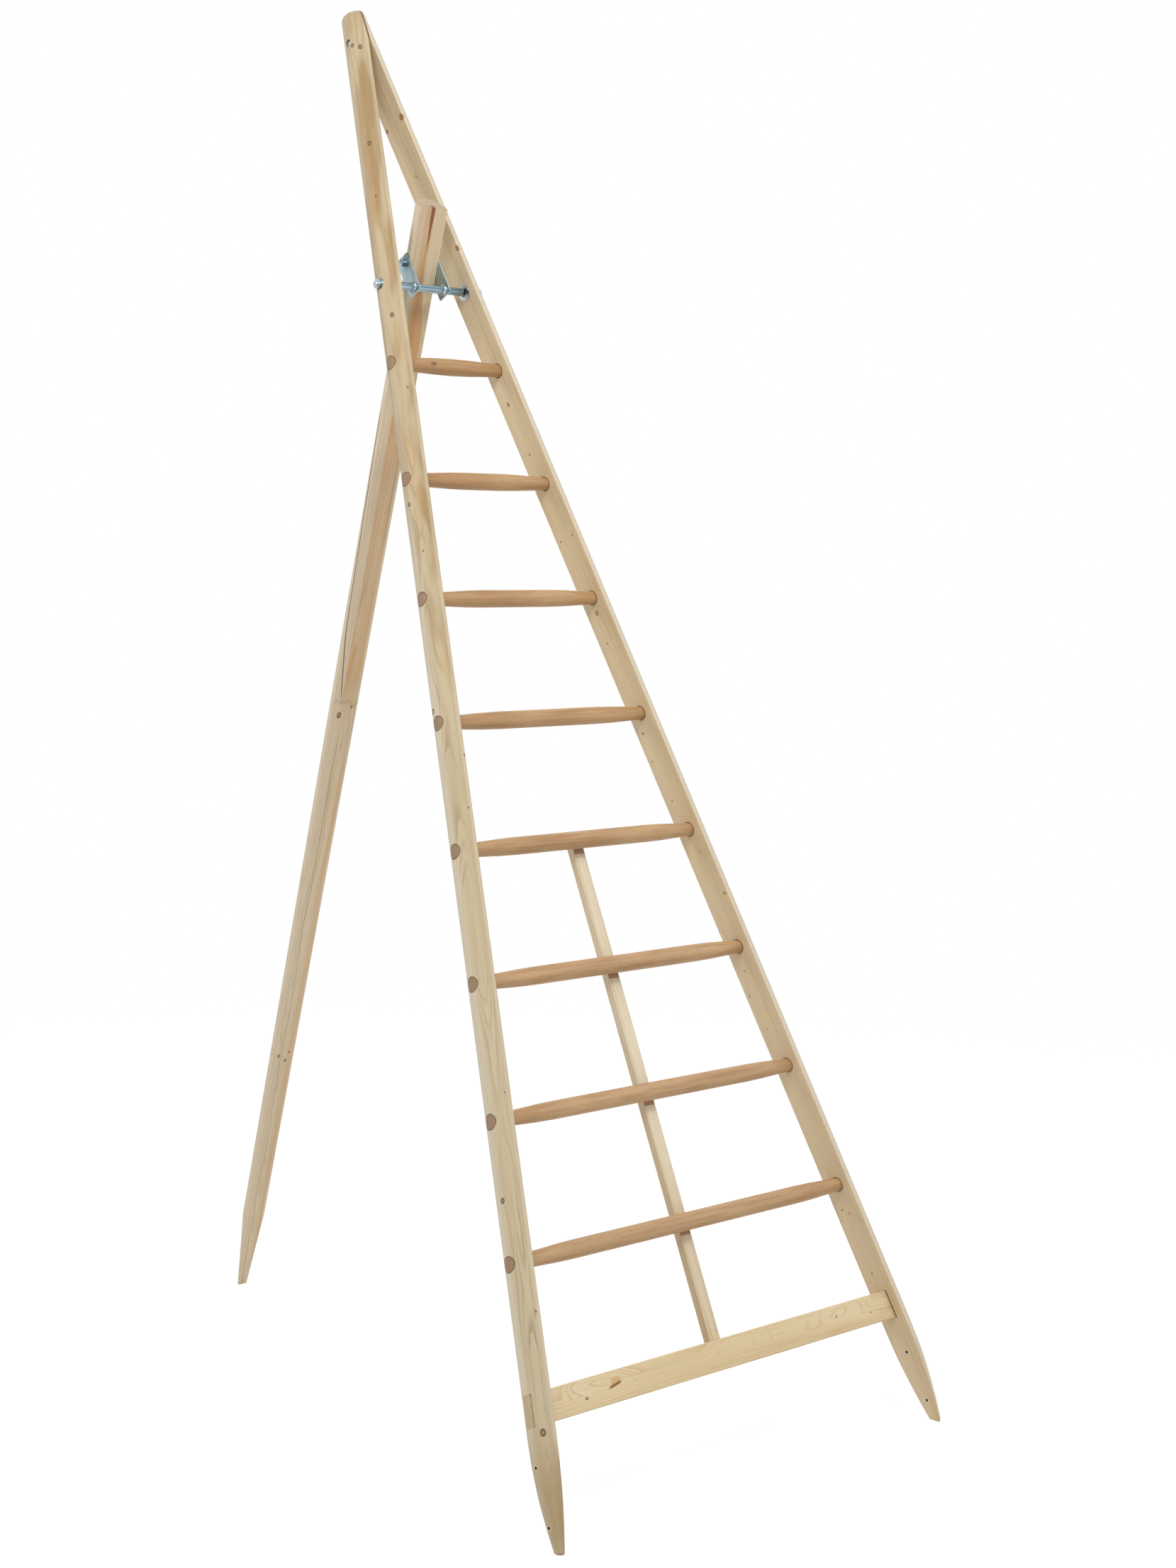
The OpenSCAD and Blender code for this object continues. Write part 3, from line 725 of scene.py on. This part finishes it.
RAIL_SWIRLS = [
    (-0.012, -0.06, -0.318, 0.026, 2.5),
    (-0.020, -0.06, -0.390, 0.030, 3.0),
    (-0.016, -0.06, 0.020, 0.030, 2.0),
    (-0.017, -0.06, 0.190, 0.030, 2.5),
    (-0.018, -0.06, 0.350, 0.034, 3.0),
]
RUNG_KNOT = (-0.062, -0.017, 2.5034)

# In these lists the arris lines are painted highlights, and the dark foot-hole walls painted shade.
STILE_MARKS = (stile_arris_highlight, tenon_joints, mitre_seam, foot_hole_rims, foot_hole_painted_shade)
RAIL_MARKS = (rail_knot, rail_resin)
POLE_MARKS = (pole_warmth, pole_vein, pole_collar, pole_arris_highlight, pole_stain, pole_split, pole_check)
PLATE_ZINC = zinc("zinc_plate", rgb(178, 196, 201), rgb(138, 160, 167), (26.0, 26.0, 9.0))
FASTENER_ZINC = zinc("zinc", rgb(202, 213, 219), rgb(146, 162, 170), (90.0, 90.0, 90.0))
HARDWOOD = hardwood("hardwood")
LOOKS = {
    "left_stile": pine(
        "pine_left", LEFT_STILE, pith=(0.02, 0.02), kind=GREY_PINE, tan=left_tan, sap=left_sap,
        knots=LEFT_KNOTS, swirls=LEFT_SWIRLS, marks=STILE_MARKS),
    "right_stile": pine(
        "pine_right", RIGHT_STILE, pith=(-0.01, 0.05), kind=WARM_PINE, tan=right_tan_with_painted_light_and_shade, sap=right_sap,
        knots=RIGHT_KNOTS, marks=(*STILE_MARKS, mortise_painted_shade)),
    "rear_pole": pine(
        "pine_pole", POLE, pith=(0.0, 0.012), kind=POLE_PINE, tan=pole_tan, sap=pole_sap,
        knots=POLE_KNOTS, marks=POLE_MARKS),
    "bottom_rail": pine(
        "pine_rail", RAIL, pith=(-0.025, 0.0), kind=RAIL_PINE, tan=rail_tan,
        knots=RAIL_KNOTS, swirls=RAIL_SWIRLS, marks=RAIL_MARKS),
    # The post's darker sides and the brown strips under its rungs are painted shade.
    "centre_post": pine(
        "pine_post", SLOPE, pith=(-0.04, 0.09), kind=POST_PINE, tan=post_tan_and_painted_shade, marks=(painted_rung_shadows,)),
    # The tube's long light and dark bands stand in for reflections: painted reflection.
    "hinge_tube": zinc("zinc_tube_painted_reflections", rgb(178, 198, 206), rgb(86, 113, 123), (3.0, 150.0, 150.0)),
    "hinge_rod": zinc(
        "zinc_rod", rgb(196, 206, 210), rgb(150, 163, 170), (30.0, 60.0, 60.0), oil_and_shade_between_stiles),
    "tube_washers": zinc("zinc_washer", rgb(214, 222, 226), rgb(168, 184, 192), (40.0, 40.0, 40.0)),
    "hinge_plate_left": PLATE_ZINC,
    "hinge_plate_right": PLATE_ZINC,
}
SLOTS = {part["node"]: part["material_slot"] for part in frame["record"]["subparts"]}
for node_name, node in frame["nodes"].items():
    fallback = HARDWOOD if SLOTS[node_name] == "oak" else FASTENER_ZINC
    node.data.materials.clear()
    node.data.materials.append(LOOKS.get(node_name, fallback))


# Fasteners
def swept(rings, steps=48, closed=False):
    """Vertices and faces of a solid made of rings; each ring gives a radius and a height for an angle."""
    vertices = []
    for ring in rings:
        for index in range(steps):
            angle = 2 * math.pi * index / steps
            radius, height = ring(angle)
            vertices.append((radius * math.cos(angle), radius * math.sin(angle), height))
    faces = []
    count = len(rings)
    for row in range(count if closed else count - 1):
        below = row * steps
        above = (row + 1) % count * steps
        for index in range(steps):
            beside = (index + 1) % steps
            faces.append((below + index, below + beside, above + beside, above + index))
    if not closed:
        faces.append(tuple(reversed(range(steps))))
        faces.append(tuple(range((count - 1) * steps, count * steps)))
    return vertices, faces


def piece(name, solids, body, replaced=None):
    """One object from several swept solids, each with its place."""
    vertices, faces = [], []
    for (points, polygons), place in solids:
        start = len(vertices)
        mirrored = place.determinant() < 0
        vertices += [place @ Vector(point) for point in points]
        for polygon in polygons:
            turned = tuple(reversed(polygon)) if mirrored else polygon
            faces.append(tuple(start + index for index in turned))
    mesh = bpy.data.meshes.new(name)
    mesh.from_pydata(vertices, [], faces)
    mesh.materials.append(LOOKS.get(replaced, FASTENER_ZINC))
    made = add(name, mesh)
    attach(made, body)
    if replaced:
        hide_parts(replaced)


def both_sides(solid, place):
    """A solid in its place, and in the mirror image of that place across the middle of the ladder."""
    return [(solid, place), (solid, Matrix.Scale(-1, 4, (1, 0, 0)) @ place)]


def fixed(radius, height):
    """Plain round ring."""
    return lambda angle: (radius, height)


def hex_rings(flats, low, high):
    """The outside of a hexagon with chamfered corners, from its lower face to its upper."""
    half_side = math.pi / 6
    chamfer = math.tan(math.pi / 6)
    limit = flats / 2 * 1.03

    def corner(angle):
        return flats / 2 / math.cos((angle + half_side) % (2 * half_side) - half_side)

    def face(height):
        return lambda angle: (min(corner(angle), limit), height)

    def shoulder(height, inward):
        return lambda angle: (corner(angle), height + inward * max(0.0, corner(angle) - limit) * chamfer)
    return [face(low), shoulder(low, 1), shoulder(high, -1), face(high)]


def nut(thread, low):
    """Hexagon nut with a countersunk bore."""
    high = low + thread * NUT_SHARE
    bore = thread / 2 + BORE_CLEAR
    mouth = thread * MOUTH_SHARE
    sink = thread * SINK_SHARE
    rings = hex_rings(thread * HEX_SHARE, low, high)
    rings += [fixed(mouth, high), fixed(bore, high - sink), fixed(bore, low + sink), fixed(mouth, low)]
    return swept(rings, closed=True)


def washer(outer, thread, low):
    """Washer for a thread, with its edges broken."""
    hole = thread / 2 + BORE_CLEAR
    edge = WASHER_EDGE
    high = low + WASHER
    rings = [
        fixed(outer - edge, low), fixed(outer, low + edge),
        fixed(outer, high - edge), fixed(outer - edge, high),
        fixed(hole + edge, high), fixed(hole, high - edge),
        fixed(hole, low + edge), fixed(hole + edge, low),
    ]
    return swept(rings, closed=True)


def thread_rings(diameter, pitch, low, high):
    """Rings of a helical thread between two heights."""
    depth = pitch * 0.55
    rows_a_turn = 6
    rows = max(2, round((high - low) / pitch * rows_a_turn))

    def ring(height):
        def at(angle):
            turn = (height / pitch - angle / (2 * math.pi)) % 1.0
            return diameter / 2 - depth * abs(2 * turn - 1), height
        return at
    return [ring(low + (high - low) * row / rows) for row in range(rows + 1)]


def tip_rings(diameter, end, inward):
    """Chamfered end of a rod; inward is the direction back along it."""
    chamfer = diameter * TIP_SHARE
    return [fixed(diameter / 2 - chamfer, end), fixed(diameter / 2 * 0.9, end + inward * chamfer)]


def bolt(thread, pitch, head_at, tip_at, thread_length):
    """Hex bolt along its axis, head first, with a washer face under the head and a threaded end."""
    flats = thread * HEX_SHARE
    head_low = head_at - thread * HEAD_SHARE
    crown = head_at - thread * CROWN_SHARE
    face = flats * 0.48
    tip = thread * TIP_SHARE
    shank = thread / 2
    rings = [fixed(flats * 0.4, head_low)]
    rings += hex_rings(flats, head_low, crown)
    rings += [fixed(face, crown), fixed(face, head_at), fixed(shank, head_at)]
    rings += [fixed(shank, tip_at - thread_length)]
    rings += thread_rings(thread, pitch, tip_at - thread_length, tip_at - tip)
    rings += [fixed(shank - tip, tip_at)]
    return swept(rings)


def rod(diameter, pitch, half, thread_length):
    """Rod with a thread on both ends."""
    inner = half - thread_length
    tip = diameter * TIP_SHARE
    rings = tip_rings(diameter, -half, 1)
    rings += thread_rings(diameter, pitch, -half + tip, -inner)
    rings += [fixed(diameter / 2, -inner), fixed(diameter / 2, inner)]
    rings += thread_rings(diameter, pitch, inner, half - tip)
    rings += reversed(tip_rings(diameter, half, -1))
    return swept(rings)


def screw(length, shank, head, pitch):
    """Countersunk screw, head up, with a cross recess."""
    arm = head * 0.07
    reach = head * 0.27
    recess = head * 0.22
    rim = head / 2 - 0.0002
    rim_height = 0.0004
    rim_slant = 0.0001
    tiny = 1e-9

    def cross(scale, height):
        def at(angle):
            side = abs(math.cos(angle)) + tiny
            front = abs(math.sin(angle)) + tiny
            lengthwise = min(reach / side, arm / front)
            crosswise = min(reach / front, arm / side)
            return scale * max(lengthwise, crosswise), height
        return at
    rings = [fixed(shank * TIP_SHARE, -length), fixed(shank / 2, -length + shank)]
    rings += thread_rings(shank, pitch, -length + shank, -head)
    rings += [fixed(shank / 2, -(head - shank) / 2)]
    rings += [fixed(rim, -rim_height), fixed(rim - rim_slant, 0)]
    rings += [cross(1.0, 0), cross(0.7, -recess)]
    return swept(rings)


def weld(bore, size):
    """Lumpy bead laid round a tube; two waves of different counts make the lumps."""
    turns = 10
    sunk = bore + size * 0.35
    flattened = 0.8

    def ring(turn):
        def at(angle):
            lump = size * (1 + 0.16 * math.sin(11 * angle + 1) + 0.1 * math.sin(17 * angle))
            return sunk + lump * math.cos(turn) * flattened, lump * math.sin(turn)
        return at
    return swept([ring(2 * math.pi * index / turns) for index in range(turns)], steps=72, closed=True)


def past_seat(thread):
    """How far a thread's tip stands beyond its seat: washer, nut and a little thread."""
    return WASHER + thread * NUT_SHARE + THREAD_END


rod_seat = seat(HINGE_HEIGHT, ROD_SEAT_DEPTH)
rod_nut = nut(ROD_D, rod_seat + WASHER)
rod_washer = washer(ROD_WASHER_R, ROD_D, rod_seat)
rod_solid = rod(ROD_D, ROD_PITCH, rod_seat + past_seat(ROD_D), ROD_THREAD)
piece("threaded_rod", [(rod_solid, ROD_AXIS)], "ladder", "hinge_rod")
piece("rod_hex_nuts", both_sides(rod_nut, ROD_AXIS), "ladder", "rod_nuts")
piece("rod_flat_washers", both_sides(rod_washer, ROD_AXIS), "ladder", "rod_washers")

apex_seat = seat(APEX_HEIGHT, APEX_SEAT_DEPTH)
apex_nut = nut(APEX_BOLT_D, apex_seat + WASHER)
apex_washer = washer(APEX_WASHER_R, APEX_BOLT_D, apex_seat)
apex_tip = apex_seat + past_seat(APEX_BOLT_D)
apex_solid = bolt(APEX_BOLT_D, APEX_BOLT_PITCH, -apex_seat - WASHER, apex_tip, APEX_BOLT_THREAD)
piece("apex_hex_bolt", [(apex_solid, APEX_AXIS)], "ladder", "apex_bolt")
piece("apex_hex_nut", [(apex_nut, APEX_AXIS)], "ladder", "apex_nut")
piece("apex_flat_washers", both_sides(apex_washer, APEX_AXIS), "ladder", "apex_washers")

pole_nut = nut(POLE_BOLT_D, PLATE_OUT + WASHER)
pole_washer = washer(POLE_WASHER_R, POLE_BOLT_D, PLATE_OUT)
pole_tip = PLATE_OUT + past_seat(POLE_BOLT_D)
pole_solid = bolt(POLE_BOLT_D, POLE_BOLT_PITCH, -PLATE_OUT - WASHER, pole_tip, POLE_BOLT_THREAD)
piece("pole_hex_bolt", [(pole_solid, POLE_AXIS)], "prop", "pole_bolt")
piece("pole_hex_nut", [(pole_nut, POLE_AXIS)], "prop", "pole_nut")
piece("pole_flat_washers", both_sides(pole_washer, POLE_AXIS), "prop", "pole_washers")

# Weld beads over the fillets on both faces of both plates
bead = weld(TUBE_R, BEAD_SIZE)
beads = []
for level in (PLATE_IN - BEAD_OFFSET, PLATE_OUT + BEAD_OFFSET):
    beads += both_sides(bead, ROD_AXIS @ Matrix.Translation((0, 0, level)))
piece("weld_beads", beads, "prop")

# Screws from behind, through the post into the rungs and the rail
post_screw = screw(SCREW_LENGTH, SCREW_SHANK, SCREW_HEAD, SCREW_PITCH)
screw_heights = [FIRST_RUNG + index * RUNG_SPACING for index in range(POST_RUNGS)]
screw_heights += [RAIL_CENTRE - RAIL_SCREW_OFFSET, RAIL_CENTRE + RAIL_SCREW_OFFSET]
TO_REAR = Matrix.Rotation(-math.pi / 2, 4, "X")
screws = [
    (post_screw, SLOPE @ Matrix.Translation((0, POST_BACK, height)) @ TO_REAR)
    for height in screw_heights
]
piece("countersunk_screws", screws, "ladder", "post_screws")

# Stage: lengths in metres, brightness from 0 to 1
FLOOR_REACH = 40.0
SHADOW_NEAR = 1.8
SHADOW_FAR = 5.0
FLOOR_GLOW = 0.78
FLOOR_SHADE = 0.28
FLOOR_PALE = 0.8
AMBIENT = 0.40
AIM = Vector((0, 0, 1.4))
# Lights: bearing and height in degrees, distance and size in metres, power in watts
LIGHTS = {
    "key": (20, 52, 7.0, 1.5, 165),
    "fill": (-25, 12, 7.0, 3.0, 50),
    "front_left": (60, 42, 4.2, 1.5, 42),
    "left": (110, 30, 6.0, 2.5, 90),
    "right": (-75, 25, 6.0, 2.5, 45),
    "rear_right": (205, 35, 7.0, 3.0, 120),
}
# Camera fitted to the photograph: its place from the middle of the front feet, and its turn
CAMERA_FROM_FEET = Vector((-3.6987, -3.4081, 1.9101))
CAMERA_BEARING = math.radians(43.073)
CAMERA_PITCH = math.radians(5.511)
CAMERA_ROLL = math.radians(0.797)
CAMERA_REACH = 100
PHOTO_HEIGHT = 2212
FOCAL_PIXELS = 3579.2
SENSOR = 36.0


def direct_ray(tree):
    """1 where the camera, a reflection or a refraction looks, 0 for light that is scattered."""
    path = tree.nodes.new("ShaderNodeLightPath")
    total = path.outputs["Is Camera Ray"]
    for name in ("Is Glossy Ray", "Is Transmission Ray"):
        either = tree.nodes.new("ShaderNodeMath")
        either.operation = "MAXIMUM"
        tree.links.new(total, either.inputs[0])
        tree.links.new(path.outputs[name], either.inputs[1])
        total = either.outputs[0]
    return total


def far_share(tree):
    """0 on the floor round the ladder, 1 far from it, so that the floor ends in plain white."""
    place = tree.nodes.new("ShaderNodeTexCoord")
    length = tree.nodes.new("ShaderNodeVectorMath")
    length.operation = "LENGTH"
    tree.links.new(place.outputs["Object"], length.inputs[0])
    ramp = tree.nodes.new("ShaderNodeMapRange")
    ramp.interpolation_type = "SMOOTHSTEP"
    ramp.inputs["From Min"].default_value = SHADOW_NEAR
    ramp.inputs["From Max"].default_value = SHADOW_FAR
    tree.links.new(length.outputs["Value"], ramp.inputs["Value"])
    return ramp.outputs[0]


def floor_material():
    """Pale floor: white to the camera, with a faint shadow near the ladder; plain pale to everything else."""
    material = bpy.data.materials.new("floor")
    material.use_nodes = True
    tree = material.node_tree
    tree.nodes.clear()

    def shader(kind, grey, strength=None):
        made = tree.nodes.new(kind)
        made.inputs["Color"].default_value = (grey, grey, grey, 1)
        if strength is not None:
            made.inputs["Strength"].default_value = strength
        return made.outputs[0]

    def join(kind, first, second, share=None):
        made = tree.nodes.new(kind)
        sockets = [socket for socket in made.inputs if socket.type == "SHADER"]
        tree.links.new(first, sockets[0])
        tree.links.new(second, sockets[1])
        if share:
            tree.links.new(share, made.inputs[0])
        return made.outputs[0]
    glow = shader("ShaderNodeEmission", 1.0, FLOOR_GLOW)
    near = join("ShaderNodeAddShader", glow, shader("ShaderNodeBsdfDiffuse", FLOOR_SHADE))
    white = shader("ShaderNodeEmission", 1.0, 1.0)
    seen = join("ShaderNodeMixShader", near, white, far_share(tree))
    plain = shader("ShaderNodeBsdfDiffuse", FLOOR_PALE)
    surface = join("ShaderNodeMixShader", plain, seen, direct_ray(tree))
    output = tree.nodes.new("ShaderNodeOutputMaterial")
    tree.links.new(surface, output.inputs["Surface"])
    return material


def floor():
    """Wide floor under the ladder, which belongs to the stage."""
    mesh = bpy.data.meshes.new("floor")
    signs = ((-1, -1), (1, -1), (1, 1), (-1, 1))
    corners = [(x * FLOOR_REACH, y * FLOOR_REACH, 0) for x, y in signs]
    mesh.from_pydata(corners, [], [(0, 1, 2, 3)])
    mesh.materials.append(floor_material())
    made = add("floor", mesh)


def backdrop(ambient):
    """White behind the object, and even soft light on it."""
    world = bpy.data.worlds.new("studio")
    bpy.context.scene.world = world
    world.use_nodes = True
    tree = world.node_tree
    level = tree.nodes.new("ShaderNodeMapRange")
    level.inputs["To Min"].default_value = ambient
    level.inputs["To Max"].default_value = 1.0
    tree.links.new(direct_ray(tree), level.inputs["Value"])
    background = tree.nodes["Background"]
    background.inputs["Color"].default_value = (1, 1, 1, 1)
    tree.links.new(level.outputs[0], background.inputs["Strength"])


def softbox(name, bearing, height, distance, size, power):
    """Square soft light aimed at the middle of the ladder; bearing turns from the front to the left."""
    turn = math.radians(bearing)
    rise = math.radians(height)
    level = math.cos(rise) * distance
    away = Vector((-math.sin(turn) * level, -math.cos(turn) * level, math.sin(rise) * distance))
    light = bpy.data.lights.new(name, "AREA")
    light.size = size
    light.energy = power
    made = add(name, light)
    made.location = AIM + away
    made.rotation_euler = (-away).to_track_quat("-Z", "Y").to_euler()


def camera():
    """Camera with the photograph's lens and place."""
    lens = bpy.data.cameras.new("camera")
    lens.sensor_fit = "VERTICAL"
    lens.sensor_height = SENSOR
    lens.lens = FOCAL_PIXELS * SENSOR / PHOTO_HEIGHT
    lens.clip_end = CAMERA_REACH
    made = add("camera", lens)
    turn = Euler((math.pi / 2 - CAMERA_PITCH, 0, -CAMERA_BEARING)).to_matrix().to_4x4()
    place = Matrix.Translation(CAMERA_FROM_FEET + Vector((0, FRONT_Y, 0)))
    made.matrix_world = place @ turn @ Matrix.Rotation(CAMERA_ROLL, 4, "Z")
    bpy.context.scene.camera = made


floor()
backdrop(AMBIENT)
for light_name, light_values in LIGHTS.items():
    softbox(light_name, *light_values)
camera()
bpy.context.scene.view_settings.view_transform = "Standard"
